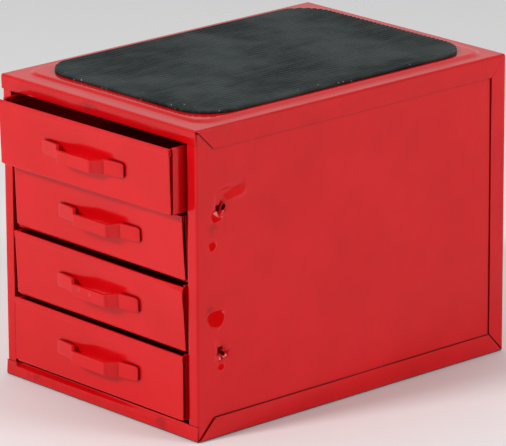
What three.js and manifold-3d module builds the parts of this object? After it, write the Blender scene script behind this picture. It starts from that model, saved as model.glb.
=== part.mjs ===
// Bench-top drawer cabinet of folded sheet steel, with a rubber mat on its top.
// Millimetres, +Z up. The front with the drawers faces -Y, and +X is to the right
// of someone who stands before it. The origin is the middle of the base.

import * as THREE from "three";
import { RoundedBoxGeometry } from "three/addons/geometries/RoundedBoxGeometry.js";
import { mergeVertices } from "three/addons/utils/BufferGeometryUtils.js";
import Module from "manifold-3d";

const wasm = await Module();
wasm.setup();

// Casing
const width = 230;
const depth = 330;
const height = 248; // base to the rim of the top
const sheet = 0.9; // thickness of every folded sheet
const bend = 2; // outer radius of a fold
const slack = 0.3; // air between pieces that touch
const sideFlange = 17; // wrapper's turned-over side edges, along the top and the bottom
const rearFlange = 16; // the same along the back
const topRail = 11.8;
const bottomRail = 12.5;
const stile = 10.3; // side panel's inward return beside the drawers
const railEndCut = 1.2; // how far a rail stops short of the casing's full width
const rearMitreTop = 0.4; // width of the open mitre seams
const rearMitreBottom = 0.7;

// Raised plateau and the mat on it
const plateauRise = 1.7;
const plateauSlope = 2;
const plateau = { left: -102, right: 102, front: -149, back: 152, corner: 14 };
const mat = { left: -98.2, right: 97.4, front: -140, back: 146, corner: 32, thick: 3 };

// Drawers, from the top one down
const panWidth = 199.2;
const panHeight = 53;
const panLength = 326;
const panShift = 0.65; // the drawers hang a little to the right of the middle
const firstPan = 15.2; // underside of the lowest pan
const pitch = 55.1; // from one pan's underside to the next
const homeInset = 2.6; // foot of the front behind the rail's face, pushed right in
const travel = 225; // from pushed in to stopped by the lugs
const cornerSeam = 2; // open seam between the pan's walls
const hem = { deep: 6, thick: 2.4 };
const wallJoint = 1; // the upper half of a pan's wall starts this far inside the lower half
const endFoot = 4; // how far an end wall's section runs along the bottom beyond its fold
const notch = 3.2; // relief at the foot of the front corners
const drawers = [
  { open: 15.8, lean: 1.4, lift: 0.4, pullShift: 1.5 },
  { open: 1.2, lean: 2.0, lift: 0.7, pullShift: 3.0 },
  { open: 1.5, lean: 2.7, lift: 0, pullShift: 1.0 },
  { open: 4.8, lean: 0, lift: 0, pullShift: 2.0 },
];
const lug = { out: 6.4, low: 7, high: 13, thick: 0.9, play: 0.4 };

// Strap pull, bent like the brim and crown of a hat
const pull = {
  length: 95,
  thick: 2.4,
  reach: 14.8, // front face of the pan to the outer face of the grip
  footHalf: 25.2, // middle to where a leg leaves its tab
  gripHalf: 20.8, // middle to the end of the grip
  gripHigh: 10,
  tabHigh: 11.6,
  cornerCut: 1, // at the ends of the tabs
  widening: { from: 1, to: 3 }, // past the grip's end and past the leg's foot
  bendRadius: 2,
  middle: 26, // above the pan's underside
};

// Runner: weld flange on the side panel, web to the pan, step, ledge under the pan
const runner = { thick: 1, flangeHigh: 11.5, step: 5, ledge: 9.7, sideGap: 1.45, bendRadius: 0.8 };
const runnerFront = -160;
const runnerBack = 158;

// Colours
const red = { color: 0xbf0a12, roughness: 0.22, metalness: 0 };
const black = { color: 0x2b302f, roughness: 0.85, metalness: 0 };

const halfWidth = width / 2;
const halfDepth = depth / 2;
const halfPan = panWidth / 2;
const curveSteps = 6; // straight pieces in a quarter turn of a large corner
const bendSteps = 3; // the same in a fold
const beyond = 8; // how far a cutter runs past what it cuts

// Turns a shape's drawing plane, so that it is extruded along the named axis
const alongX = new THREE.Matrix4().makeBasis(
  new THREE.Vector3(0, 1, 0),
  new THREE.Vector3(0, 0, 1),
  new THREE.Vector3(1, 0, 0),
);
const alongY = new THREE.Matrix4().makeBasis(
  new THREE.Vector3(1, 0, 0),
  new THREE.Vector3(0, 0, 1),
  new THREE.Vector3(0, -1, 0),
);

// A closed solid from a three.js geometry
function solid(geometry) {
  geometry.deleteAttribute("normal");
  geometry.deleteAttribute("uv");
  const merged = mergeVertices(geometry, 1e-4);
  return new wasm.Manifold(
    new wasm.Mesh({
      numProp: 3,
      vertProperties: merged.attributes.position.array,
      triVerts: Uint32Array.from(merged.index.array),
    }),
  );
}

function geometryOf(body) {
  const mesh = body.getMesh();
  const geometry = new THREE.BufferGeometry();
  geometry.setAttribute("position", new THREE.BufferAttribute(mesh.vertProperties, 3));
  geometry.setIndex(new THREE.BufferAttribute(mesh.triVerts, 1));
  geometry.computeVertexNormals();
  return geometry;
}

function box(x0, x1, y0, y1, z0, z1) {
  const geometry = new THREE.BoxGeometry(x1 - x0, y1 - y0, z1 - z0);
  geometry.translate((x0 + x1) / 2, (y0 + y1) / 2, (z0 + z1) / 2);
  return solid(geometry);
}

function extrudeZ(shape, z0, z1) {
  const geometry = new THREE.ExtrudeGeometry(shape, { depth: z1 - z0, bevelEnabled: false });
  geometry.translate(0, 0, z0);
  return solid(geometry);
}

// The shape's x and y become Y and Z
function extrudeX(shape, x0, x1) {
  const geometry = new THREE.ExtrudeGeometry(shape, { depth: x1 - x0, bevelEnabled: false });
  geometry.translate(0, 0, x0);
  geometry.applyMatrix4(alongX);
  return solid(geometry);
}

// The shape's x and y become X and Z
function extrudeY(shape, y0, y1) {
  const geometry = new THREE.ExtrudeGeometry(shape, { depth: y1 - y0, bevelEnabled: false });
  geometry.translate(0, 0, -y1);
  geometry.applyMatrix4(alongY);
  return solid(geometry);
}

function outline(points) {
  return new THREE.Shape(points.map(([x, y]) => new THREE.Vector2(x, y)));
}

function roundedRectangle({ left, right, front, back, corner }) {
  const points = [];
  const centres = [
    [right - corner, back - corner],
    [left + corner, back - corner],
    [left + corner, front + corner],
    [right - corner, front + corner],
  ];
  centres.forEach(([x, y], quarter) => {
    for (let step = 0; step <= curveSteps; step += 1) {
      const angle = ((quarter + step / curveSteps) * Math.PI) / 2;
      points.push([x + corner * Math.cos(angle), y + corner * Math.sin(angle)]);
    }
  });
  return outline(points);
}

// The section of a bent strip: its middle line is given by its corners, and each
// inner corner is rounded with the same radius
function bentStrip(corners, thick, radius) {
  const points = corners.map(([x, y]) => new THREE.Vector2(x, y));
  const last = points.length - 1;
  const line = [];
  const addPoint = (at, heading) => {
    line.push({ at, normal: new THREE.Vector2(-heading.y, heading.x) });
  };
  const heading = (from, to) => to.clone().sub(from).normalize();
  addPoint(points[0], heading(points[0], points[1]));
  for (let index = 1; index < last; index += 1) {
    const before = heading(points[index - 1], points[index]);
    const after = heading(points[index], points[index + 1]);
    const turn = Math.atan2(before.cross(after), before.dot(after));
    const tangent = radius * Math.tan(Math.abs(turn) / 2);
    const side = Math.sign(turn);
    const start = points[index].clone().addScaledVector(before, -tangent);
    const toCentre = new THREE.Vector2(-before.y, before.x).multiplyScalar(side * radius);
    const centre = start.clone().add(toCentre);
    for (let step = 0; step <= bendSteps; step += 1) {
      const angle = (turn * step) / bendSteps;
      const at = start.clone().rotateAround(centre, angle);
      addPoint(at, before.clone().rotateAround(new THREE.Vector2(), angle));
    }
  }
  addPoint(points[last], heading(points[last - 1], points[last]));
  const offset = (amount) => line.map(({ at, normal }) => at.clone().addScaledVector(normal, amount));
  return new THREE.Shape([...offset(thick / 2), ...offset(-thick / 2).reverse()]);
}

// From one distance off the middle to another, on the given side
function span(side, near, far) {
  return side > 0 ? [near, far] : [-far, -near];
}

function makeMesh(name, geometry, finish) {
  const mesh = new THREE.Mesh(geometry, new THREE.MeshStandardMaterial(finish));
  mesh.name = name;
  return mesh;
}

// One long sheet folded into top, back and bottom, with narrow side flanges and
// a rail at each front end
function casingWrapper() {
  const outside = new RoundedBoxGeometry(width, depth, height, bendSteps, bend);
  outside.translate(0, 0, height / 2);
  const inside = new RoundedBoxGeometry(
    width - 2 * sheet,
    depth - 2 * sheet,
    height - 2 * sheet,
    bendSteps,
    bend - sheet,
  );
  inside.translate(0, 0, height / 2);
  let body = solid(outside).subtract(solid(inside));

  // The side flanges leave a window over each side panel. Their front ends are cut
  // at 45 degrees, and they meet at the back in open mitre seams.
  const cutStart = bend / 2;
  const mitreRun = sideFlange - cutStart;
  const frontEdge = -halfDepth + bend;
  const rearEdge = halfDepth - rearFlange;
  const window = outline([
    [-halfDepth - beyond, height - cutStart],
    [frontEdge, height - cutStart],
    [frontEdge + mitreRun, height - sideFlange],
    [rearEdge, height - sideFlange],
    [rearEdge, sideFlange],
    [frontEdge + mitreRun, sideFlange],
    [frontEdge, cutStart],
    [-halfDepth - beyond, cutStart],
  ]);
  const seamLength = Math.hypot(sideFlange, rearFlange) - bend;
  const seamTurn = Math.atan2(sideFlange, rearFlange);
  const seams = [
    { z: height - (sideFlange + cutStart) / 2, wide: rearMitreTop, turn: seamTurn },
    { z: (sideFlange + cutStart) / 2, wide: rearMitreBottom, turn: -seamTurn },
  ];
  for (const side of [-1, 1]) {
    const [x0, x1] = span(side, halfWidth - sheet - slack / 2, halfWidth + beyond);
    body = body.subtract(extrudeX(window, x0, x1));
    for (const { z, wide, turn } of seams) {
      const seam = new THREE.BoxGeometry(x1 - x0, seamLength, wide);
      seam.rotateX(turn);
      seam.translate((x0 + x1) / 2, halfDepth - (rearFlange + cutStart) / 2, z);
      body = body.subtract(solid(seam));
    }
    const [r0, r1] = span(side, halfWidth - railEndCut, halfWidth + beyond);
    body = body.subtract(box(r0, r1, -halfDepth - beyond, frontEdge, cutStart, height - cutStart));
  }

  // Between the two rails the front is open
  body = body.subtract(
    box(
      -halfWidth - beyond,
      halfWidth + beyond,
      -halfDepth - beyond,
      frontEdge,
      bottomRail,
      height - topRail,
    ),
  );

  // The plateau is pressed up from below, so its sheet keeps its thickness
  const pressing = () => {
    const under = 2;
    const geometry = new THREE.ExtrudeGeometry(roundedRectangle(plateau), {
      depth: under,
      bevelEnabled: true,
      bevelThickness: plateauRise,
      bevelSize: plateauSlope,
      bevelSegments: 1,
    });
    geometry.translate(0, 0, height - under);
    return solid(geometry);
  };
  const aboveRim = box(
    -halfWidth,
    halfWidth,
    -halfDepth,
    halfDepth,
    height - sheet / 2,
    height + beyond,
  );
  const hollow = pressing().translate([0, 0, -sheet]);
  body = body.add(pressing().intersect(aboveRim)).subtract(hollow);
  return makeMesh("casing_wrapper", geometryOf(body), red);
}

// A flat side with its front edge turned inward as a stile
function sidePanel(name, side) {
  const middle = halfWidth - sheet - slack - sheet / 2;
  const front = -halfDepth + sheet + slack + sheet / 2;
  const stileEdge = halfWidth - sheet - slack - stile;
  const back = halfDepth - sheet - 2 * slack;
  const corners = [
    [side * stileEdge, front],
    [side * middle, front],
    [side * middle, back],
  ];
  const clear = sheet + 2 * slack;
  const body = extrudeZ(bentStrip(corners, sheet, bend - sheet / 2), clear, height - clear);
  return makeMesh(name, geometryOf(body), red);
}

function rubberMat() {
  const low = height + plateauRise + slack;
  const high = height + plateauRise + mat.thick;
  return makeMesh("rubber_mat", geometryOf(extrudeZ(roundedRectangle(mat), low, high)), black);
}

// Stepped strip on a side panel that carries and guides one side of a pan
function drawerRunner(name, side, panUnderside) {
  const { thick, flangeHigh, step, ledge, sideGap, bendRadius } = runner;
  const flange = halfWidth - 2 * sheet - 2 * slack - thick / 2;
  const ledgeLine = panUnderside - slack - thick / 2;
  const stepLine = halfPan + sideGap + thick / 2 + side * panShift;
  const corners = [
    [side * flange, ledgeLine + step + flangeHigh],
    [side * flange, ledgeLine + step],
    [side * stepLine, ledgeLine + step],
    [side * stepLine, ledgeLine],
    [side * (stepLine - ledge), ledgeLine],
  ];
  const body = extrudeY(bentStrip(corners, thick, bendRadius), runnerFront, runnerBack);
  return makeMesh(name, geometryOf(body), red);
}

// One folded sheet: its own origin is the foot of the front, at mid width
function drawerPan(name, lean) {
  const skin = sheet / 2;
  const hemGap = hem.thick - sheet;
  const wallTop = panHeight - skin;
  const hemFoot = panHeight - hem.deep;
  const radius = bend - skin;
  const hemRadius = hemGap * 0.49; // just under half, so that the fold keeps a short flat crown
  const sideLine = halfPan - skin;

  // Bottom with both sides
  const sideEnds = [sheet + cornerSeam, panLength - sheet - cornerSeam];
  const lowHalf = wallTop / 2;
  const joint = lowHalf - wallJoint;
  const trough = [
    [-sideLine, lowHalf],
    [-sideLine, skin],
    [sideLine, skin],
    [sideLine, lowHalf],
  ];
  let body = extrudeY(bentStrip(trough, sheet, radius), sideEnds[0], sideEnds[1]);
  const lugFront = travel + lug.play + 2 * sheet + slack - homeInset;
  for (const side of [-1, 1]) {
    const wall = [
      [side * sideLine, joint],
      [side * sideLine, wallTop],
      [side * (sideLine - hemGap), wallTop],
      [side * (sideLine - hemGap), hemFoot],
    ];
    body = body.add(extrudeY(bentStrip(wall, sheet, hemRadius), sideEnds[0], sideEnds[1]));
    const [x0, x1] = span(side, halfPan - skin, halfPan + lug.out);
    body = body.add(box(x0, x1, lugFront, lugFront + lug.thick, lug.low, lug.high));
  }

  // Front and back walls, each one folded up from the bottom, with the hem inside
  const endWall = (foot, inward, tip) => {
    const at = (z) => foot - (tip * z) / panHeight;
    const lower = [
      [foot + inward * (radius + endFoot), skin],
      [foot, skin],
      [at(lowHalf), lowHalf],
    ];
    const upper = [
      [at(joint), joint],
      [at(wallTop), wallTop],
      [at(wallTop) + inward * hemGap, wallTop],
      [at(hemFoot) + inward * hemGap, hemFoot],
    ];
    return [bentStrip(lower, sheet, radius), bentStrip(upper, sheet, hemRadius)];
  };
  const backHalf = halfPan - sheet - cornerSeam;
  for (const section of endWall(skin, 1, lean)) {
    body = body.add(extrudeX(section, -halfPan, halfPan));
  }
  for (const section of endWall(panLength - skin, -1, 0)) {
    body = body.add(extrudeX(section, -backHalf, backHalf));
  }
  for (const side of [-1, 1]) {
    const [x0, x1] = span(side, backHalf, halfPan + beyond);
    body = body.subtract(box(x0, x1, -beyond, sideEnds[0], -beyond, notch));
  }
  return makeMesh(name, geometryOf(body), red);
}

// Its own origin is on the pan's front face, at the middle of the grip
function strapPull(name) {
  const { length, thick, reach, footHalf, gripHalf, gripHigh, tabHigh, bendRadius } = pull;
  const { cornerCut, widening } = pull;
  const tabLine = -slack - thick / 2;
  const gripLine = -reach + thick / 2;
  const corners = [
    [-length / 2, tabLine],
    [-footHalf, tabLine],
    [-gripHalf, gripLine],
    [gripHalf, gripLine],
    [footHalf, tabLine],
    [length / 2, tabLine],
  ];
  const strap = extrudeZ(bentStrip(corners, thick, bendRadius), -tabHigh / 2, tabHigh / 2);
  const end = length / 2;
  const half = tabHigh / 2;
  const waist = gripHigh / 2;
  const quarter = [
    [end, half - cornerCut],
    [end - cornerCut, half],
    [footHalf + widening.to, half],
    [gripHalf + widening.from, waist],
  ];
  const mirrored = (signX, signZ) => quarter.map(([x, z]) => [signX * x, signZ * z]);
  const face = outline([
    ...mirrored(1, 1),
    ...mirrored(-1, 1).reverse(),
    ...mirrored(-1, -1),
    ...mirrored(1, -1).reverse(),
  ]);
  const body = strap.intersect(extrudeY(face, -reach - beyond, beyond));
  return makeMesh(name, geometryOf(body), red);
}

const cabinet = new THREE.Group();
cabinet.add(casingWrapper());
cabinet.add(sidePanel("left_side_panel", -1));
cabinet.add(sidePanel("right_side_panel", 1));
cabinet.add(rubberMat());

drawers.forEach(({ open, lean, lift, pullShift }, index) => {
  const number = index + 1;
  const underside = firstPan + pitch * (drawers.length - number) + lift;
  cabinet.add(drawerRunner(`left_runner_${number}`, -1, underside));
  cabinet.add(drawerRunner(`right_runner_${number}`, 1, underside));

  const drawer = new THREE.Group();
  drawer.position.set(panShift, -halfDepth + homeInset - open, underside);
  drawer.add(drawerPan(`drawer_${number}_pan`, lean));
  const strap = strapPull(`drawer_${number}_pull`);
  strap.position.set(pullShift, (-lean * pull.middle) / panHeight, pull.middle);
  strap.rotation.x = Math.atan2(lean, panHeight);
  drawer.add(strap);
  cabinet.add(drawer);
});

export default cabinet;
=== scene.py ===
"""Looks of the bench-top drawer cabinet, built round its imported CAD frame.

Lengths in this script are millimetres, turned into metres where a mesh is made.
Each folded sheet is drawn as its outer skin on a grid and then given its thickness.
"""

import math

import bmesh
import bpy
from mathutils import Matrix, Vector, noise


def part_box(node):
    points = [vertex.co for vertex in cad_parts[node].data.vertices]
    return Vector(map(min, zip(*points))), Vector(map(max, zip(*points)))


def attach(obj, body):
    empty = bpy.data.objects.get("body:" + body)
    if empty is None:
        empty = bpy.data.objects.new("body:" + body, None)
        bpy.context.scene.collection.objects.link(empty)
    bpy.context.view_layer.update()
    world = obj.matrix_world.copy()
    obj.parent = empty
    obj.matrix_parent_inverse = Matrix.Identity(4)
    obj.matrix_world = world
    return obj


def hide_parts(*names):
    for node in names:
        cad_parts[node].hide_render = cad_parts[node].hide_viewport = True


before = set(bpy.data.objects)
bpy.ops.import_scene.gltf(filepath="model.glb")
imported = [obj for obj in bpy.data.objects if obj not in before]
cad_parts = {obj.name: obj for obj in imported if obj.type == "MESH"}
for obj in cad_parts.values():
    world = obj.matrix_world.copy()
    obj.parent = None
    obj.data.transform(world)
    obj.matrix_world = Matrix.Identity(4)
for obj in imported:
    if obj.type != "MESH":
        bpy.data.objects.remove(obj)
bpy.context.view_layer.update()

MM = 0.001
SHEET = 0.9
BEND = 2.0
BEND_STEPS = 4  # grid lines across half a fold
SUPPORT = 0.5  # a grid line this far from a fold keeps the flat beside it flat
BASE_TO_RIM = 248.0

# Casing
FLANGE = 17.0
REAR_FLANGE = 16.0
TOP_RAIL = 11.8
BOTTOM_RAIL = 12.5
STILE = 10.3
RAIL_END = 113.85
RAIL_TUCK = 0.5  # the rails are bent a little past square
RAIL_CURL = 4.6  # the bottom rail's edge is pushed in between the stiles, most at the left
CURL_HEIGHT = 4.6  # how far down the rail the pushed-in edge reaches
CURL_FADE = (-60, 110)  # from where to where, left to right, the push fades
CURL_LEFT_OVER = 0.2  # share of the push that is left at the right
CURL_DROP = 0.25  # the edge sinks by this share of what it is pushed in
PANEL_SET_BACK = 1.2  # side panel's face behind the flange's face
REAR_SEAM_TOP = 0.08  # half gaps of the mitre seams at the rear
REAR_SEAM_BOTTOM = 0.8
PLATEAU = {"left": -105, "right": 108, "front": -151, "back": 154, "corner": 16}
PLATEAU_RISE = 1.7
PLATEAU_SLOPE = 3.4
PLATEAU_RUNOUT = 5.5  # how much longer the slope is at the right

# Drawer pans
PAN_LENGTH = 326.0
PAN_BEND = 2.0
HEM_RADIUS = 1.2
HEM_DEPTH = 6.0
HEM_STEP = 0.35  # the front stands out a little over the folded hem
PAN_REAR_SEAM = 2.0  # open seam at a pan's rear corners
NOTCH = 1.6  # relief at the foot of the front corners
FOLLOW_LENGTH = 30.0  # stretch of the side walls that is bent along with a leaning front
LUG = {"front": 225.3, "out": 6.4, "low": 7.0, "high": 13.0}

# How each front is bent: further lean and sag (downwards) at either end, a curled right
# corner at the top, a bow, how far the side walls' front ends are bent along with its lean,
# and the open seam between them and the front
FRONTS = [
    {"lean": (0.0, 0.0), "sag": (1.1, 0.0), "curl": 0.2, "bow": 0.2, "follow": 0.0, "seam": 2.0},
    {"lean": (0.0, 1.2), "sag": (-1.2, 0.0), "curl": 0.1, "bow": 0.2, "follow": 0.85, "seam": 0.8},
    {"lean": (0.0, 0.0), "sag": (-0.4, 1.2), "curl": 1.0, "bow": 0.3, "follow": 0.85, "seam": 0.8},
    {"lean": (0.0, 0.0), "sag": (-0.6, 1.0), "curl": 0.2, "bow": 0.1, "follow": 0.0, "seam": 2.0},
]

FRONT_CURL = {"from": 0.86, "down": 10, "spread": 7, "top": 4}  # the curled corner
FRONT_HEM = (5.2, 4.0)  # the hem's step, below the front's top edge

# Strap pulls
STRAP = {"thick": 2.4, "reach": 14.8, "foot": 25.2, "grip": 20.8, "length": 95.0}
GRIP_HALF = 5.0
TAB_HALF = 5.8
STRAP_RADIUS = 3.4
STRAP_EDGE = 0.4

# Mat
RIB_PITCH = 4.8
RIB_DEPTH = 0.85
MAT_CORNER = 32.0
MAT_SIDE_ROUND = {"sink": 0.8, "reach": 0.9}

# Marks on the right side panel, from its front edge and down from the rim
PUNCTURE = (26.0, 64.5)
GOUGE_START = (26.0, 57.0)
GOUGE_END = (46.0, 54.0)
GOUGE_WIDTH = (3.2, 7.4)  # half widths of its floor and of its whole
GOUGE_DEPTH = 1.3
STAR = (26.5, 180.5)  # the lower puncture, torn open in three ways
BLOB = (20.0, 152.0)
LOBE = (21.0, 71.5)
DRIP = (16.5, 94.0)
STAR_DRIP = (25.0, 192.0)
FACE_FORWARD = 0.30  # slopes of a dented patch: its face looks to the front and up
FACE_UP = 0.26
PATCHES = [(LOBE, 6.0), (BLOB, 9.5), (DRIP, 4.5), (STAR_DRIP, 3.6)]  # with their radii
PUNCTURE_DENT = (5.0, 2.4)  # radius and depth
PUNCTURE_HOLE = {"wide": 1.25, "radius": 3.9}
LIP = {"below": 4.9, "flat": 2.0, "radius": 0.9, "out": 1.6}
PETAL = {"half": 1.1, "out": 2.6, "reach": 4.6, "slope": 0.4, "gap": 1.2}
STAR_HOLE = {"radius": 2.7, "ray": 1.7, "turn": 1.9}
STAR_DENT = {"radius": 3.5, "ray": 3.0, "turn": 0.6, "depth": 2.6}
STAR_CREASES = [  # where each one runs to, its half width, its depth, how much fades away
    ((15, -2.5), 1.8, 1.1, 1.0),
    ((-5, -9), 2.6, 1.2, 0.6),
]
RAISED_SPOT = (10.5, 147)
RAISED_SIZE = (1.8, 0.6)  # radius and height
MARKS_ALONG = (7, 54)  # the marks lie in these stretches, where the panel's grid is close
MARKS_DOWN = [(49, 103), (139, 196)]
MARK_STEP = 0.55


# ---------------------------------------------------------------- grids and sheets


def between(low, high, step, marks=(), fine=()):
    """Grid lines from low to high, about step apart, with one on each mark.

    They are closer together in each (from, to, step) of fine.
    """
    stops = {low, high, *marks}
    for start, end, _ in fine:
        stops |= {start, end}
    stops = sorted(stop for stop in stops if low <= stop <= high)
    lines = []
    for start, end in zip(stops, stops[1:]):
        if end - start < 1e-6:
            continue
        local = min([step] + [s for a, b, s in fine if start < b and end > a])
        count = max(1, math.ceil((end - start) / local - 1e-6))
        lines += [start + (end - start) * k / count for k in range(count)]
    return lines + [high]


def fold_marks(edge, inward, radius=BEND):
    """Grid lines that round the fold at edge evenly. inward is the way to the flat beside it."""
    turns = [math.tan(k * math.pi / 4 / BEND_STEPS) for k in range(BEND_STEPS + 1)]
    marks = [edge + inward * radius * (1 - turn) for turn in turns]
    return marks + [edge + inward * (radius + SUPPORT)]


def smooth(value, low, high):
    """0 below low, 1 above high, and a smooth step between."""
    t = max(0.0, min(1.0, (value - low) / (high - low)))
    return t * t * (3 - 2 * t)


def ripple(a, b, size, height, seed):
    """A gentle unevenness of the sheet."""
    return height * noise.noise(Vector((a / size, b / size, seed)))


def bump(distance, radius, height):
    return height * math.exp(-((distance / radius) ** 2))


class Skin:
    """The outer face of a folded sheet, gathered from grids whose edges meet."""

    def __init__(self):
        self.points = []
        self.faces = []

    def add(self, us, vs, place, out, keep=None):
        """One grid. place(u, v) gives a point, and out is about the way its first cell faces."""
        first = len(self.points)
        rows = len(vs)
        self.points += [Vector(place(u, v)) for u in us for v in vs]
        a, b, c = (self.points[first + k] for k in (0, rows, 1))
        flip = (b - a).cross(c - a).dot(Vector(out)) < 0
        for i in range(len(us) - 1):
            for j in range(rows - 1):
                if keep and not keep((us[i] + us[i + 1]) / 2, (vs[j] + vs[j + 1]) / 2):
                    continue
                corner = first + i * rows + j
                quad = [corner, corner + rows, corner + rows + 1, corner + 1]
                self.faces.append(quad[::-1] if flip else quad)

    def build(self, name, thickness=SHEET, offset=-1.0, edge=0.2):
        """The sheet as an object: grids joined, given thickness, with slightly rounded cut edges."""
        mesh = bpy.data.meshes.new(name)
        mesh.from_pydata([point * MM for point in self.points], [], self.faces)
        work = bmesh.new()
        work.from_mesh(mesh)
        bmesh.ops.remove_doubles(work, verts=work.verts, dist=0.02 * MM)
        loose = [vert for vert in work.verts if not vert.link_faces]
        bmesh.ops.delete(work, geom=loose, context="VERTS")
        work.to_mesh(mesh)
        work.free()
        mesh.shade_smooth()
        piece = bpy.data.objects.new(name, mesh)
        bpy.context.scene.collection.objects.link(piece)
        if thickness:
            solidify = piece.modifiers.new("thickness", "SOLIDIFY")
            solidify.thickness = thickness * MM
            solidify.offset = offset
            solidify.use_even_offset = True
        if edge:
            bevel = piece.modifiers.new("cut_edge", "BEVEL")
            bevel.width = edge * MM
            bevel.segments = 2
            bevel.limit_method = "ANGLE"
            bevel.angle_limit = math.radians(50)
        return piece


def box_mm(node):
    low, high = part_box(node)
    return low / MM, high / MM


def settle(piece, body, node, material):
    """Puts the piece in place of its CAD node."""
    piece.data.materials.append(material)
    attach(piece, body)
    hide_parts(node)


# ---------------------------------------------------------------- materials


class Graph:
    """Short calls for a material's nodes."""

    def __init__(self, name):
        self.material = bpy.data.materials.new(name)
        self.material.use_nodes = True
        self.tree = self.material.node_tree
        self.shader = self.tree.nodes["Principled BSDF"]
        coordinates = self.tree.nodes.new("ShaderNodeTexCoord")
        self.place = coordinates.outputs["Object"]

    def node(self, kind, **values):
        made = self.tree.nodes.new(kind)
        for name, value in values.items():
            setattr(made, name, value)
        return made

    def feed(self, socket, value):
        if isinstance(value, bpy.types.NodeSocket):
            self.tree.links.new(value, socket)
        else:
            socket.default_value = value

    def noise(self, size, detail=2.0, stretch=None):
        """Noise from 0 to 1 with lumps about size millimetres wide."""
        made = self.node("ShaderNodeTexNoise")
        made.inputs["Scale"].default_value = 1 / (size * MM)
        made.inputs["Detail"].default_value = detail
        source = self.place
        if stretch:
            mapping = self.node("ShaderNodeMapping")
            self.feed(mapping.inputs["Vector"], source)
            mapping.inputs["Scale"].default_value = stretch
            source = mapping.outputs["Vector"]
        self.feed(made.inputs["Vector"], source)
        return made.outputs["Fac"]

    def cells(self, size):
        made = self.node("ShaderNodeTexVoronoi")
        made.inputs["Scale"].default_value = 1 / (size * MM)
        self.feed(made.inputs["Vector"], self.place)
        return made.outputs["Distance"], made.outputs["Color"]

    def ramp(self, value, low, high, to_low=0.0, to_high=1.0):
        made = self.node("ShaderNodeMapRange", interpolation_type="SMOOTHSTEP")
        self.feed(made.inputs["Value"], value)
        made.inputs["From Min"].default_value = low
        made.inputs["From Max"].default_value = high
        made.inputs["To Min"].default_value = to_low
        made.inputs["To Max"].default_value = to_high
        return made.outputs["Result"]

    def math(self, operation, a, b=0.0):
        made = self.node("ShaderNodeMath", operation=operation)
        self.feed(made.inputs[0], a)
        self.feed(made.inputs[1], b)
        return made.outputs[0]

    def mix(self, amount, a, b):
        made = self.node("ShaderNodeMix", data_type="RGBA")
        self.feed(made.inputs["Factor"], amount)
        self.feed(made.inputs["A"], a)
        self.feed(made.inputs["B"], b)
        return made.outputs["Result"]

    def spot(self, centre, radii):
        """1 in the middle of an ellipsoid, 0 outside it. Centre and radii are in millimetres."""
        mapping = self.node("ShaderNodeMapping", vector_type="TEXTURE")
        self.feed(mapping.inputs["Vector"], self.place)
        mapping.inputs["Location"].default_value = [c * MM for c in centre]
        mapping.inputs["Scale"].default_value = [r * MM for r in radii]
        length = self.node("ShaderNodeVectorMath", operation="LENGTH")
        self.feed(length.inputs[0], mapping.outputs["Vector"])
        return self.ramp(length.outputs["Value"], 1.0, 0.45)

    def heights(self, *layers):
        """Chained bump nodes, each from (height socket, depth in millimetres)."""
        normal = None
        for height, depth in layers:
            made = self.node("ShaderNodeBump")
            made.inputs["Strength"].default_value = 1.0
            made.inputs["Distance"].default_value = depth * MM
            self.feed(made.inputs["Height"], height)
            if normal:
                self.feed(made.inputs["Normal"], normal)
            normal = made.outputs["Normal"]
        self.feed(self.shader.inputs["Normal"], normal)


RED_DEEP = (0.73, 0.0022, 0.0050, 1)
RED_LIGHT = (0.79, 0.0036, 0.0080, 1)
# A more saturated red for the dented patches round the punctures: paint ran there, and it also stands in
# as painted dark reflection for their tilted faces
RED_RUNS_AND_DARK_REFLECTION = (0.80, 0.0006, 0.0020, 1)
# Dark colour for grime, nicks and handling marks, and also for the painted shade in creases
GRIME_AND_SHADE = (0.09, 0.006, 0.006, 1)
CREASE_REACH = 2.5
BARE = (0.30, 0.24, 0.23, 1)


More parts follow.
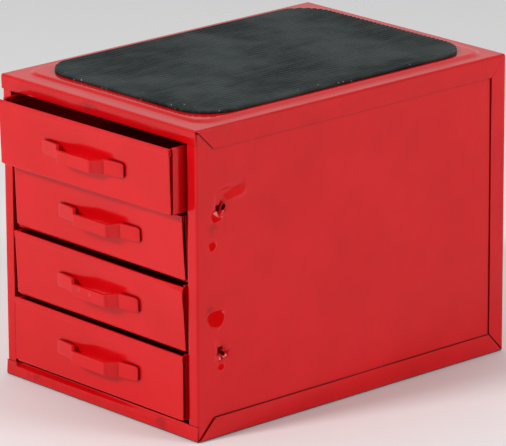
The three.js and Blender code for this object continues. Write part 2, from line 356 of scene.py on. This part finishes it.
def enamel(name, dark_patches=(), rubbed=(), paint_runs_and_dark_reflections=(), worn=0.05):
    """Glossy red paint. The darker patches, the rubbed spots and the saturated patches are lists of
    (centre, radii) in millimetres.
    """
    graph = Graph(name)
    broad = graph.noise(70, 3)
    fine = graph.noise(6, 4)
    colour = graph.mix(graph.ramp(broad, 0.35, 0.7), RED_DEEP, RED_LIGHT)
    handling = graph.ramp(graph.noise(24, 5), 0.40, 0.8, 0.4 * worn, worn)
    colour = graph.mix(handling, colour, GRIME_AND_SHADE)
    # Painted shade: where other surfaces come within CREASE_REACH, as in creases, seams and round the
    # pulls' tabs, the paint is darkened as if shaded
    crease = graph.node("ShaderNodeAmbientOcclusion", samples=6)
    crease.inputs["Distance"].default_value = CREASE_REACH * MM
    crease_shade = graph.ramp(crease.outputs["AO"], 0.90, 0.56, 0.0, 0.9)
    colour = graph.mix(crease_shade, colour, GRIME_AND_SHADE)
    distance, tint = graph.cells(9)
    lone = graph.ramp(tint, 0.955, 0.97)
    nick = graph.math("MULTIPLY", graph.ramp(distance, 0.055, 0.03), lone)
    colour = graph.mix(graph.math("MULTIPLY", nick, 0.75), colour, GRIME_AND_SHADE)
    for centre, radii in dark_patches:
        patch = graph.math("MULTIPLY", graph.spot(centre, radii), graph.ramp(fine, 0.3, 0.6))
        colour = graph.mix(graph.math("MULTIPLY", patch, 0.35), colour, GRIME_AND_SHADE)
    for centre, radii in rubbed:
        patch = graph.math("MULTIPLY", graph.spot(centre, radii), graph.ramp(fine, 0.25, 0.55))
        colour = graph.mix(graph.math("MULTIPLY", patch, 0.6), colour, BARE)
    rough = graph.ramp(graph.noise(30, 4), 0.3, 0.75, 0.09, 0.18)
    # Paint runs and painted dark reflection: these patches are painted a more saturated red
    for centre, radii in paint_runs_and_dark_reflections:
        colour = graph.mix(graph.spot(centre, radii), colour, RED_RUNS_AND_DARK_REFLECTION)
    graph.feed(graph.shader.inputs["Base Color"], colour)
    graph.feed(graph.shader.inputs["Roughness"], rough)
    graph.shader.inputs["Specular IOR Level"].default_value = 0.29
    peel = graph.noise(2.6, 1)
    graph.heights((graph.noise(16, 2), 0.02), (peel, 0.004))
    return graph.material


RUBBER_DARK = (0.011, 0.018, 0.018, 1)
RUBBER_GREY = (0.045, 0.058, 0.056, 1)
RUBBER_DUSTY = (0.068, 0.082, 0.079, 1)
SPECK = (0.44, 0.39, 0.37, 1)


def rubber():
    """Ribbed mat: dull, greyed by dust, with paler specks along its front and right edges."""
    graph = Graph("dusty_rubber")
    streaks = graph.noise(9, 5, (1.0, 0.22, 1.0))
    patches = graph.noise(55, 4)
    base = graph.mix(graph.ramp(patches, 0.35, 0.65), RUBBER_DARK, RUBBER_GREY)
    dusty = graph.ramp(streaks, 0.42, 0.70, 0.0, 0.45)
    base = graph.mix(dusty, base, RUBBER_DUSTY)
    distance, tint = graph.cells(4.5)
    speck = graph.math("MULTIPLY", graph.ramp(distance, 0.18, 0.09), graph.ramp(tint, 0.62, 0.66))
    position = graph.node("ShaderNodeSeparateXYZ")
    graph.feed(position.inputs["Vector"], graph.place)
    near_front = graph.ramp(position.outputs["Y"], -0.115, -0.139)
    near_right = graph.ramp(position.outputs["X"], 0.082, 0.097)
    edge = graph.math("MAXIMUM", near_front, graph.math("MULTIPLY", near_right, 0.5))
    speck = graph.math("MULTIPLY", speck, graph.math("MAXIMUM", edge, 0.06))
    base = graph.mix(speck, base, SPECK)
    graph.feed(graph.shader.inputs["Base Color"], base)
    graph.feed(graph.shader.inputs["Roughness"], graph.ramp(streaks, 0.3, 0.8, 0.62, 0.85))
    graph.shader.inputs["Specular IOR Level"].default_value = 0.2
    graph.heights((graph.noise(1.1, 3), 0.06), (graph.noise(6, 3), 0.12))
    return graph.material


# ---------------------------------------------------------------- casing

wrapper_high = box_mm("casing_wrapper")[1]
HALF_WIDTH = wrapper_high.x
HALF_DEPTH = wrapper_high.y
STILE_EDGE = HALF_WIDTH - PANEL_SET_BACK - STILE

# Weld marks on the side flanges: from the front edge, and down from the rim
TOP_WELDS = [(35, 7.5), (151, 6.5), (240, 8.0)]
REAR_WELDS = [25, 92, 160, 225]
WELD_RADIUS = 2.4
WELD_REACH = 4.0

# Spacing of the wrapper's grid lines. The casing stays under 200 000 faces, which the STL export
# keeps whole.
FLAT_STEP = 6.5
SLOPE_STEP = 0.7
CORNER_STEP = 1.3
WELD_STEP = 1.2
FLANGE_STEP = 1.4
RAIL_END_REACH = 4.0
WELD_DEPTH = 0.6


def rounded(x, y, z):
    """A point of the sharp-edged casing, moved onto its rounded folds."""
    core = Vector((
        max(-HALF_WIDTH + BEND, min(HALF_WIDTH - BEND, x)),
        max(-HALF_DEPTH + BEND, min(HALF_DEPTH - BEND, y)),
        max(BEND, min(BASE_TO_RIM - BEND, z)),
    ))
    away = Vector((x, y, z)) - core
    return core + away.normalized() * BEND


def inside_distance(x, y, shape):
    """How far inside a rounded rectangle a point lies."""
    corner = shape["corner"]
    centre_x = (shape["left"] + shape["right"]) / 2
    centre_y = (shape["front"] + shape["back"]) / 2
    dx = abs(x - centre_x) - (shape["right"] - shape["left"]) / 2 + corner
    dy = abs(y - centre_y) - (shape["back"] - shape["front"]) / 2 + corner
    outer = math.hypot(max(dx, 0), max(dy, 0)) + min(max(dx, dy), 0)
    return corner - outer


def flat_share(x, y, z):
    """0 on a fold and its neighbours, 1 well away from every edge, so that dents stay off the folds."""
    reach = 14.0
    sides = sorted((
        HALF_WIDTH - abs(x),
        HALF_DEPTH - abs(y),
        min(z, BASE_TO_RIM - z),
    ))
    return smooth(sides[1], BEND, reach)


def top_point(x, y):
    point = rounded(x, y, BASE_TO_RIM)
    slope = PLATEAU_SLOPE + PLATEAU_RUNOUT * smooth(x, 90, 102)
    step = smooth(inside_distance(x, y, PLATEAU), 0, slope)
    point.z += PLATEAU_RISE * step
    point.z += flat_share(x, y, BASE_TO_RIM) * (ripple(x, y, 55, 0.16, 1.5) - 0.05)
    return point


def weld_mark(along, down, marks):
    return -sum(
        bump(math.hypot(along - a, down - d), WELD_RADIUS, WELD_DEPTH) for a, d in marks
    )


def flange_front(deep):
    """The flange's front end is cut at 45 degrees."""
    return -HALF_DEPTH + min(2 * deep, deep + 1)


def open_seam(deep, wide):
    """Half of the gap of a mitre seam, which is closed at the corner."""
    return wide * smooth(deep, 0.5, 3.0)


def build_wrapper():
    skin = Skin()
    fine_x = [
        (-STILE_EDGE, RAIL_END_REACH - STILE_EDGE, SLOPE_STEP),
        (STILE_EDGE - RAIL_END_REACH, STILE_EDGE, SLOPE_STEP),
        (PLATEAU["left"], PLATEAU["left"] + PLATEAU_SLOPE, SLOPE_STEP),
        (PLATEAU["left"] + PLATEAU_SLOPE, PLATEAU["left"] + PLATEAU["corner"], CORNER_STEP),
        (PLATEAU["right"] - PLATEAU["corner"], PLATEAU["right"], CORNER_STEP),
    ]
    inner_x = between(
        -HALF_WIDTH,
        HALF_WIDTH,
        FLAT_STEP,
        fold_marks(-HALF_WIDTH, 1) + fold_marks(HALF_WIDTH, -1),
        fine_x,
    )
    fine_y = [
        (PLATEAU["front"], PLATEAU["front"] + PLATEAU_SLOPE, SLOPE_STEP),
        (PLATEAU["front"] + PLATEAU_SLOPE, PLATEAU["front"] + PLATEAU["corner"], CORNER_STEP),
        (PLATEAU["back"] - PLATEAU["corner"], PLATEAU["back"] - PLATEAU_SLOPE, CORNER_STEP),
        (PLATEAU["back"] - PLATEAU_SLOPE, PLATEAU["back"], SLOPE_STEP),
    ]
    fine_y += [
        (along - HALF_DEPTH - WELD_REACH, along - HALF_DEPTH + WELD_REACH, WELD_STEP)
        for along, _ in TOP_WELDS
    ]
    lines_y = between(
        -HALF_DEPTH,
        HALF_DEPTH,
        FLAT_STEP,
        fold_marks(-HALF_DEPTH, 1) + fold_marks(HALF_DEPTH, -1),
        fine_y,
    )
    welds_z = [
        (BASE_TO_RIM - down - WELD_REACH, BASE_TO_RIM - down + WELD_REACH, WELD_STEP)
        for down in REAR_WELDS
    ]
    lines_z = between(0, BASE_TO_RIM, FLAT_STEP, fold_marks(0, 1) + fold_marks(BASE_TO_RIM, -1), welds_z)

    def back_point(x, z):
        point = rounded(x, HALF_DEPTH, z)
        point.y += flat_share(x, HALF_DEPTH, z) * ripple(x, z, 60, 0.4, 4.5)
        return point

    skin.add(inner_x, lines_y, top_point, (0, 0, 1))
    skin.add(inner_x, lines_z, back_point, (0, 1, 0))
    skin.add(inner_x, lines_y, lambda x, y: rounded(x, y, 0), (0, 0, -1))

    # Front rails: the ends of the same sheet, a little short of the casing's width
    rail_x = [x for x in inner_x if abs(x) <= RAIL_END]
    top_rail_z = between(BASE_TO_RIM - TOP_RAIL, BASE_TO_RIM, 2.5, fold_marks(BASE_TO_RIM, -1))
    bottom_rail_z = between(0, BOTTOM_RAIL, 2.5, fold_marks(0, 1), [(BOTTOM_RAIL - 5, BOTTOM_RAIL, 0.5)])

    def rail_point(x, z):
        point = rounded(x, -HALF_DEPTH, z)
        free = smooth(min(z, BASE_TO_RIM - z), BEND, TOP_RAIL)
        point.y += free * (RAIL_TUCK + ripple(x, z, 40, 0.3, 2.5))
        if z < BASE_TO_RIM / 2:
            share = 1 - (1 - CURL_LEFT_OVER) * smooth(x, *CURL_FADE)
            share *= smooth(STILE_EDGE - abs(x), 0.6, 2.6)
            rolled = smooth(z, BOTTOM_RAIL - CURL_HEIGHT, BOTTOM_RAIL)
            point.y += RAIL_CURL * share * rolled
            point.z -= CURL_DROP * RAIL_CURL * share * rolled
        return point

    for lines in (top_rail_z, bottom_rail_z):
        skin.add(rail_x, lines, rail_point, (0, -1, 0))

    # Side flanges, mitred together at the rear corners
    deep_lines = between(0, FLANGE, FLANGE_STEP, fold_marks(0, 1))
    rear_lines = between(0, REAR_FLANGE, FLANGE_STEP, fold_marks(0, 1))
    for side in (-1, 1):
        x = side * HALF_WIDTH

        def lengthwise(y, deep, upper):
            wide = REAR_SEAM_TOP if upper else REAR_SEAM_BOTTOM
            front = flange_front(deep)
            back = HALF_DEPTH - deep * REAR_FLANGE / FLANGE - open_seam(deep, wide)
            run = (y + HALF_DEPTH) / (2 * HALF_DEPTH)
            at = front + (back - front) * run
            z = BASE_TO_RIM - deep if upper else deep
            point = rounded(x, at, z)
            marks = TOP_WELDS if upper else [(along + 12, down) for along, down in TOP_WELDS]
            lift = weld_mark(at + HALF_DEPTH, deep, marks)
            point.x += side * (lift + smooth(deep, BEND, 5) * ripple(at, z, 40, 0.25, 7.5))
            return point

        for upper in (True, False):
            skin.add(
                lines_y,
                deep_lines,
                lambda y, deep, upper=upper: lengthwise(y, deep, upper),
                (0, 0, 1 if upper else -1),
            )

        def upright(z, deep):
            share = deep * FLANGE / REAR_FLANGE
            low = share + open_seam(deep, REAR_SEAM_BOTTOM)
            high = BASE_TO_RIM - share - open_seam(deep, REAR_SEAM_TOP)
            at = low + (high - low) * z / BASE_TO_RIM
            point = rounded(x, HALF_DEPTH - deep, at)
            marks = [(down, 5.0) for down in REAR_WELDS]
            lift = weld_mark(BASE_TO_RIM - at, deep, marks)
            point.x += side * (lift + smooth(deep, BEND, 5) * ripple(at, deep, 40, 0.25, 9.5))
            return point

        skin.add(lines_z, rear_lines, upright, (0, 1, 0))

    return skin.build("casing_sheet")


def segment_distance(point, start, end):
    """Distance from a point to a straight stretch, and how far along it the nearest place is."""
    line = Vector(end) - Vector(start)
    along = max(0.0, min(1.0, (Vector(point) - Vector(start)).dot(line) / line.length_squared))
    return (Vector(point) - Vector(start) - along * line).length, along


def leaning_patch(y, down, centre, radius):
    """A dented patch whose face is tilted to look up and to the front."""
    back = y - centre[0]
    below = down - centre[1]
    uneven = ripple(y, down, radius, 0.22 * radius, centre[0])
    share = 1 - smooth(math.hypot(back, below) + uneven, 0.65 * radius, radius)
    return share * (FACE_FORWARD * back + FACE_UP * below)


def gouge(y, down):
    """The long scrape above the puncture, deep at the front and running out to the rear."""
    near, along = segment_distance((y, down), GOUGE_START, GOUGE_END)
    line_down = GOUGE_START[1] + along * (GOUGE_END[1] - GOUGE_START[1])
    share = 1 - smooth(near, *GOUGE_WIDTH)
    return share * (FACE_UP * (down - line_down) - GOUGE_DEPTH * (1 - along))


def damage(y, down):
    """How far the right side panel stands in or out round its old punctures."""
    away = math.hypot(y - PUNCTURE[0], down - PUNCTURE[1])
    depth = gouge(y, down) - bump(away, *PUNCTURE_DENT)
    depth += sum(leaning_patch(y, down, centre, radius) for centre, radius in PATCHES)
    lip = math.hypot((y - PUNCTURE[0]) / LIP["flat"], down - PUNCTURE[1] - LIP["below"])
    depth += bump(lip, LIP["radius"], LIP["out"])
    if away < PETAL["reach"]:
        depth += bump(petal(y, down), PETAL["half"], PETAL["out"])
    star = math.hypot(y - STAR[0], down - STAR[1])
    turn = math.atan2(down - STAR[1], y - STAR[0])
    ridge = 0.5 + 0.5 * math.cos(3 * turn - STAR_DENT["turn"])
    depth -= bump(star, STAR_DENT["radius"] + STAR_DENT["ray"] * ridge, STAR_DENT["depth"])
    for (back, below), half, deep, fading in STAR_CREASES:
        crease, run = segment_distance((y, down), STAR, (STAR[0] + back, STAR[1] + below))
        depth -= bump(crease, half, deep * (1 - fading * run))
    depth += bump(math.hypot(y - RAISED_SPOT[0], down - RAISED_SPOT[1]), *RAISED_SIZE)
    return depth


def petal(y, down):
    """Distance from the strip of torn sheet that is left standing across the puncture."""
    return abs(y - PUNCTURE[0] + PETAL["slope"] * (down - PUNCTURE[1]))


def torn(y, down):
    """Where the sheet is punched right through."""
    away = math.hypot((y - PUNCTURE[0]) / PUNCTURE_HOLE["wide"], down - PUNCTURE[1])
    hole = away < PUNCTURE_HOLE["radius"] and petal(y, down) > PETAL["gap"]
    star = math.hypot(y - STAR[0], down - STAR[1])
    turn = math.atan2(down - STAR[1], y - STAR[0])
    ray = math.cos(3 * turn - STAR_HOLE["turn"])
    return hole or star < STAR_HOLE["radius"] + STAR_HOLE["ray"] * ray


def build_side_panel(side):
    node = "right_side_panel" if side > 0 else "left_side_panel"
    low, high = box_mm(node)
    face = HALF_WIDTH - PANEL_SET_BACK
    front = low.y
    fine_y = []
    fine_z = []
    if side > 0:
        start, end = MARKS_ALONG
        fine_y = [(start - HALF_DEPTH, end - HALF_DEPTH, MARK_STEP)]
        fine_z = [(BASE_TO_RIM - foot, BASE_TO_RIM - head, MARK_STEP) for head, foot in MARKS_DOWN]
    lines_y = between(front, high.y, 5, fold_marks(front, 1), fine_y)
    lines_x = between(STILE * -1 + face, face, 2.5, fold_marks(face, -1))
    lines_z = between(low.z, high.z, 5, (), fine_z)

    def rounded_corner(x, y, z):
        core = Vector((min(face - BEND, x), max(front + BEND, y), z))
        away = Vector((x, y, z)) - core
        return core + away.normalized() * BEND

    def side_point(y, z):
        point = rounded_corner(face, y, z)
        share = smooth(y - front, BEND, 10)
        point.x += share * ripple(y, z, 80, 0.45, 3.5 * side)
        if side > 0:
            point.x += damage(y + HALF_DEPTH, BASE_TO_RIM - z)
        point.x *= side
        return point

    def stile_point(x, z):
        point = rounded_corner(x, front, z)
        point.y += smooth(face - x, BEND, STILE) * ripple(z, 0, 45, 0.4, 5.5 * side)
        point.x *= side
        return point

    def whole(y, z):
        return side < 0 or not torn(y + HALF_DEPTH, BASE_TO_RIM - z)

    skin = Skin()
    skin.add(lines_y, lines_z, side_point, (side, -1, 0), whole)
    skin.add(lines_x, lines_z, stile_point, (0, -1, 0))
    return skin.build(node.replace("panel", "sheet"))


# ---------------------------------------------------------------- mat


def build_mat():
    low, high = box_mm("rubber_mat")
    top = high.z
    foot = BASE_TO_RIM + PLATEAU_RISE - 0.05

    def corner_drop(x):
        near = min(x - low.x, high.x - x)
        if near >= MAT_CORNER:
            return 0.0
        return MAT_CORNER - math.sqrt(max(0.0, MAT_CORNER**2 - (MAT_CORNER - near) ** 2))

    def crest(x):
        turn = abs(math.cos(math.pi * x / RIB_PITCH))
        return top - RIB_DEPTH * (1 - turn**0.6)

    arc = [MAT_CORNER * (1 - math.cos(math.radians(a))) for a in range(5, 90, 5)]
    marks = [low.x + a for a in arc] + [high.x - a for a in arc]
    columns = between(low.x, high.x, RIB_PITCH / 12, marks)
    rounding = [(0.0, 0.8), (0.25, 0.35), (0.6, 0.1), (1.2, 0.0)]
    shares = [k / 44 for k in range(45)]
    rows = [(0, inset, sink) for inset, sink in rounding]
    rows += [(share, 0, 0) for share in shares[1:-1]]
    rows += [(1, -inset, sink) for inset, sink in reversed(rounding)]

    def top_point(x, row):
        share, inset, sink = rows[row]
        front = low.y + corner_drop(x)
        back = high.y - corner_drop(x)
        side = min(x - low.x, high.x - x)
        side_sink = MAT_SIDE_ROUND["sink"] * (1 - smooth(side, 0, MAT_SIDE_ROUND["reach"]))
        return (x, front + (back - front) * share + inset, crest(x) - max(sink, side_sink))

    def wall_point(x, row, part):
        """A point of the upright edge: at the top for part 0, at the foot for part 1."""
        along, back, up = top_point(x, row)
        return (along, back, foot if part else up)

    skin = Skin()
    index = list(range(len(rows)))
    skin.add(columns, index, top_point, (0, 0, 1))
    for row, out in ((0, -1), (len(rows) - 1, 1)):
        skin.add(
            columns,
            [0, 1],
            lambda x, part, row=row: wall_point(x, row, part),
            (0, out, 0),
        )
    for x, out in ((low.x, -1), (high.x, 1)):
        skin.add(
            index,
            [0, 1],
            lambda row, part, x=x: wall_point(x, row, part),
            (out, 0, 0),
        )
    skin.add(columns, index, lambda x, row: wall_point(x, row, 1), (0, 0, -1))
    return skin.build("ribbed_mat", thickness=0, edge=0)


# ---------------------------------------------------------------- drawers


def wall_profile(height, step):
    """A wall's outer face from the pan's bottom up and over its hem, as (inward, up) points."""
    quarter = 6
    turns = [k * math.pi / 2 / quarter for k in range(quarter + 1)]
    points = [(PAN_BEND * (1 - math.sin(t)), PAN_BEND * (1 - math.cos(t))) for t in turns]
    near_hem = [(height - 9, height, 0.8)]
    rise = between(PAN_BEND, height - HEM_RADIUS, step, [PAN_BEND + SUPPORT, NOTCH], near_hem)
    points += [(0.0, up) for up in rise[1:]]
    half = [k * math.pi / 12 for k in range(13)]
    points += [
        (HEM_RADIUS * (1 - math.cos(t)), height - HEM_RADIUS * (1 - math.sin(t))) for t in half[1:]
    ]
    down = between(height - HEM_DEPTH, height - HEM_RADIUS, 1.5)
    points += [(2 * HEM_RADIUS, up) for up in reversed(down[:-1])]
    return points


def along_front(ends, x, half):
    """A value that goes evenly from the front's left end to its right end."""
    across = (x + half) / (2 * half)
    return ends[0] * (1 - across) + ends[1] * across


def build_pan(number):
    node = f"drawer_{number}_pan"
    low, high = box_mm(node)
    height = high.z - low.z
    foot = high.y - PAN_LENGTH
    lean = foot - low.y
    half = (high.x - low.x) / 2 - LUG["out"]
    middle = (low.x + high.x) / 2
    shape = FRONTS[number - 1]

    def front_out(x, up):
        """How far the front stands out of its foot's plane."""
        share = up / height
        across = (x + half) / (2 * half)
        tilt = lean + along_front(shape["lean"], x, half)
        out = tilt * share
        out += shape["bow"] * math.sin(math.pi * min(1, share)) * smooth(across, 0.2, 1.0)
        curl = shape["curl"] * smooth(across, FRONT_CURL["from"], 1.0)
        out += curl * bump(up - height + FRONT_CURL["down"], FRONT_CURL["spread"], 1.0)
        out -= curl * smooth(up, height - FRONT_CURL["top"], height)
        out += HEM_STEP * smooth(up, height - FRONT_HEM[0], height - FRONT_HEM[1])
        away = smooth(min(up, height - up), 2, 10)
        return out + away * ripple(x, up, 45, 0.35, number + 0.5)

    profile = wall_profile(height, 4)
    bottom_half = half - PAN_BEND
    lines_x = between(
        -half, half, 5, [-bottom_half, bottom_half], [(-half, -half + 6, 1), (half - 26, half, 1)]
    )
    bottom_x = [x for x in lines_x if abs(x) <= bottom_half + 1e-6]
    side_start = SHEET + shape["seam"]
    side_end = PAN_LENGTH - SHEET - PAN_REAR_SEAM
    bottom_y = between(PAN_BEND, PAN_LENGTH - PAN_BEND, 12, [side_start, side_end])
    side_y = [y for y in bottom_y if side_start <= y <= side_end]
    index = list(range(len(profile)))

    def front_point(x, k):
        inward, up = profile[k]
        drop = along_front(shape["sag"], x, half)
        if up < PAN_BEND:
            drop *= 1 - inward / PAN_BEND
        return (middle + x, foot + inward - front_out(x, up), low.z + up - drop)

    def clear_of_notch(x, k):
        return abs(x) < bottom_half or profile[math.ceil(k)][1] > NOTCH + 0.01

    def back_point(x, k):
        inward, up = profile[k]
        return (middle + x, foot + PAN_LENGTH - inward, low.z + up)

    skin = Skin()
    skin.add(bottom_x, bottom_y, lambda x, y: (middle + x, foot + y, low.z), (0, 0, -1))
    skin.add(lines_x, index, front_point, (0, 0, -1), clear_of_notch)
    skin.add(bottom_x, index, back_point, (0, 0, -1))
    for side in (-1, 1):

        def side_point(y, k):
            inward, up = profile[k]
            sway = smooth(up, 8, height) * ripple(y, up, 70, 0.4, 11.5 * side + number)
            near_front = 1 - smooth(y, side_start, FOLLOW_LENGTH)
            drawn = shape["follow"] * lean * up / height * near_front
            return (middle + side * (half - inward) + sway, foot + y - drawn, low.z + up)

        def lug_point(x, up):
            return (middle + side * x, foot + LUG["front"], low.z + up)

        skin.add(side_y, index, side_point, (0, 0, -1))
        lug_x = between(half - SHEET / 2, half + LUG["out"], 2)
        skin.add(lug_x, between(LUG["low"], LUG["high"], 2), lug_point, (0, -1, 0))
    return skin.build(f"drawer_{number}_sheet")


def bent_line(corners, radius, steps):
    """A polyline with its inner corners rounded."""
    points = [Vector(corners[0])]
    for before, corner, after in zip(corners, corners[1:], corners[2:]):
        corner = Vector(corner)
        inward = (Vector(before) - corner).normalized()
        onward = (Vector(after) - corner).normalized()
        half_angle = inward.angle(onward) / 2
        tangent = radius / math.tan(half_angle)
        centre = corner + (inward + onward).normalized() * radius / math.sin(half_angle)
        start = corner + inward * tangent - centre
        end = corner + onward * tangent - centre
        points += [centre + start.slerp(end, k / steps) for k in range(steps + 1)]
    return points + [Vector(corners[-1])]


def build_pull(number):
    low, high = box_mm(f"drawer_{number}_pull")
    pan_low, pan_high = box_mm(f"drawer_{number}_pan")
    centre_x = (low.x + high.x) / 2
    centre_z = (low.z + high.z) / 2
    sag = sum(FRONTS[number - 1]["sag"]) / 2
    height = pan_high.z - pan_low.z
    foot = pan_high.y - PAN_LENGTH
    lean = foot - pan_low.y
    up = centre_z - pan_low.z
    surface = foot - lean * up / height
    tab = -STRAP["thick"] / 2 + 0.1
    grip = -STRAP["reach"] + STRAP["thick"] / 2
    half = STRAP["length"] / 2
    foot_x = STRAP["foot"]
    grip_x = STRAP["grip"]
    corners = [(-half, tab), (-foot_x, tab), (-grip_x, grip), (grip_x, grip), (foot_x, tab), (half, tab)]
    line = bent_line(corners, STRAP_RADIUS, 6)
    stops = []
    for start, end in zip(line, line[1:]):
        count = max(1, math.ceil((end - start).length / 3))
        stops += [start.lerp(end, k / count) for k in range(count)]
    stops.append(line[-1])
    slope = math.atan2(lean, height)

    def point(k, share):
        at = stops[k]
        wide = GRIP_HALF + (TAB_HALF - GRIP_HALF) * smooth(abs(at.x), grip_x + 1, foot_x + 3)
        wide -= 1.0 * smooth(abs(at.x), half - 1.2, half) ** 2
        across = share * wide
        return (
            centre_x + at.x,
            surface + at.y * math.cos(slope) - across * math.sin(slope),
            centre_z - sag + across * math.cos(slope) + at.y * math.sin(slope),
        )

    skin = Skin()
    shares = [-1, -0.6, -0.2, 0.2, 0.6, 1]
    skin.add(list(range(len(stops))), shares, point, (0, -1, 0))
    piece = skin.build(f"drawer_{number}_strap", STRAP["thick"], 0.0, STRAP_EDGE)
    piece.modifiers["cut_edge"].segments = 3
    return piece


# ---------------------------------------------------------------- camera, floor and light

# The camera's direction from the front, its height, and its place: solved on the casing's corners
AZIMUTH = math.radians(47.64)
ELEVATION = math.radians(16.96)
ROLL = math.radians(-0.26)
AIM_HEIGHT = 124.0
DISTANCE = 3828.0
SHIFT_RIGHT = 1.92
SHIFT_UP = 7.17
LENS = 342.6


def add_camera():
    forward = Vector((
        -math.sin(AZIMUTH) * math.cos(ELEVATION),
        math.cos(AZIMUTH) * math.cos(ELEVATION),
        -math.sin(ELEVATION),
    ))
    level = forward.cross(Vector((0, 0, 1))).normalized()
    upright = level.cross(forward)
    right = level * math.cos(ROLL) + upright * math.sin(ROLL)
    up = upright * math.cos(ROLL) - level * math.sin(ROLL)
    aim = Vector((0, 0, AIM_HEIGHT))
    place = aim - forward * DISTANCE - right * SHIFT_RIGHT - up * SHIFT_UP
    camera = bpy.data.objects.new("camera", bpy.data.cameras.new("camera"))
    camera.data.lens = LENS
    camera.data.clip_end = 100
    turned = Matrix((right, up, -forward)).transposed().to_4x4()
    camera.matrix_world = Matrix.Translation(place * MM) @ turned
    bpy.context.scene.collection.objects.link(camera)
    bpy.context.scene.camera = camera


FLOOR_SIZE = 12.0
FLOOR_COLOUR = (0.94, 0.94, 0.94, 1)
ROOM_BRIGHT = 0.66
ROOM_DARK = 0.03
ROOM_FADE = (-0.2, 0.8)  # where it fades, as the cosine of the angle from its dark side's middle
KEY_LIGHT = {"place": (-0.33, -2.20, 1.60), "size": 0.50, "power": 35}
RIGHT_LIGHT = {"place": (2.1, 0.95, 1.1), "size": 1.1, "power": 21}


def add_floor():
    """A large plain pale floor, the same colour all over."""
    half = FLOOR_SIZE / 2
    mesh = bpy.data.meshes.new("floor")
    corners = [(-half, -half, 0), (half, -half, 0), (half, half, 0), (-half, half, 0)]
    mesh.from_pydata(corners, [], [(0, 1, 2, 3)])
    floor = bpy.data.objects.new("floor", mesh)
    bpy.context.scene.collection.objects.link(floor)
    graph = Graph("pale_floor")
    graph.shader.inputs["Base Color"].default_value = FLOOR_COLOUR
    graph.shader.inputs["Roughness"].default_value = 0.9
    graph.shader.inputs["Specular IOR Level"].default_value = 0.1
    mesh.materials.append(graph.material)


def add_world():
    """A wide soft room, dark on the side the photograph was taken from.

    It is light, not paint, and it stays where it is in every other view.
    """
    world = bpy.data.worlds.new("studio")
    bpy.context.scene.world = world
    world.use_nodes = True
    tree = world.node_tree
    background = tree.nodes["Background"]
    coordinates = tree.nodes.new("ShaderNodeTexCoord")
    toward = tree.nodes.new("ShaderNodeVectorMath")
    toward.operation = "DOT_PRODUCT"
    toward.inputs[1].default_value = (math.sin(AZIMUTH), -math.cos(AZIMUTH), 0)
    tree.links.new(coordinates.outputs["Generated"], toward.inputs[0])
    glow = tree.nodes.new("ShaderNodeMapRange")
    glow.interpolation_type = "SMOOTHSTEP"
    glow.inputs["From Min"].default_value = ROOM_FADE[0]
    glow.inputs["From Max"].default_value = ROOM_FADE[1]
    glow.inputs["To Min"].default_value = ROOM_BRIGHT
    glow.inputs["To Max"].default_value = ROOM_DARK
    tree.links.new(toward.outputs["Value"], glow.inputs["Value"])
    tree.links.new(glow.outputs["Result"], background.inputs["Strength"])
    background.inputs["Color"].default_value = (1, 1, 1, 1)


def add_light(name, place, size, power):
    """A round soft box that shines at the cabinet's middle."""
    light = bpy.data.lights.new(name, "AREA")
    light.shape = "DISK"
    light.size = size
    light.energy = power
    holder = bpy.data.objects.new(name, light)
    holder.location = place
    direction = Vector((0, 0, AIM_HEIGHT * MM)) - Vector(place)
    holder.rotation_euler = direction.to_track_quat("-Z", "Y").to_euler()
    bpy.context.scene.collection.objects.link(holder)


# ---------------------------------------------------------------- assembly

add_camera()
add_floor()
add_world()
add_light("key", **KEY_LIGHT)
add_light("right", **RIGHT_LIGHT)

red = enamel("red_enamel")
casing_red = enamel(
    "casing_enamel",
    worn=0.16,
    # Darker patches along the foot of the bottom rail and one on the top rail
    dark_patches=[
        ((-80, -HALF_DEPTH, 6), (14, 4, 4)),
        ((72, -HALF_DEPTH, 6), (9, 4, 7)),
        ((-HALF_WIDTH + 26, -HALF_DEPTH, 5), (5, 4, 2.5)),
        ((-10, -HALF_DEPTH, BASE_TO_RIM - 6), (18, 4, 5)),
    ],
)


def on_side(place, wide, tall):
    """A patch on the right side panel, from (distance behind the front, distance below the top)."""
    return (HALF_WIDTH, place[0] - HALF_DEPTH, BASE_TO_RIM - place[1]), (5, wide, tall)


side_red = enamel(
    "side_enamel",
    # Darker patches round the punctures
    dark_patches=[
        on_side((18, 81), 7, 8),
        on_side(STAR, 10, 9),
        on_side((14, 145), 5, 6),
    ],
    # Paint runs, and painted dark reflection on the tilted dented patches round the punctures
    paint_runs_and_dark_reflections=[
        on_side(BLOB, 12, 12),
        on_side(LOBE, 9, 8),
        on_side((38, 55), 15, 9),
        on_side(DRIP, 6, 7),
        on_side(STAR_DRIP, 5, 6),
    ],
    worn=0.10,
)

settle(build_wrapper(), "cabinet", "casing_wrapper", casing_red)
for side, node in ((-1, "left_side_panel"), (1, "right_side_panel")):
    settle(build_side_panel(side), "cabinet", node, side_red if side > 0 else red)
settle(build_mat(), "cabinet", "rubber_mat", rubber())

for number in range(1, 5):
    body = f"drawer_{number}"
    settle(build_pan(number), body, f"drawer_{number}_pan", red)
    strap_red = red
    if number == 3:
        low, high = box_mm("drawer_3_pull")
        grip_face = low.y + 0.5
        middle = (low.z + high.z) / 2
        spots = [((low.x + 37, grip_face, middle + 1), (3.2, 3, 3.2))]
        spots.append(((low.x + 50, grip_face, middle), (3.2, 3, 3.2)))
        strap_red = enamel("rubbed_enamel", rubbed=spots)
    settle(build_pull(number), body, f"drawer_{number}_pull", strap_red)

for name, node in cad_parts.items():
    if "runner" in name:
        node.data.materials.clear()
        node.data.materials.append(red)
        bevel = node.modifiers.new("cut_edge", "BEVEL")
        bevel.width = 0.15 * MM
        bevel.segments = 2
        bevel.limit_method = "ANGLE"
        bevel.angle_limit = math.radians(50)

bpy.context.scene.view_settings.view_transform = "Standard"
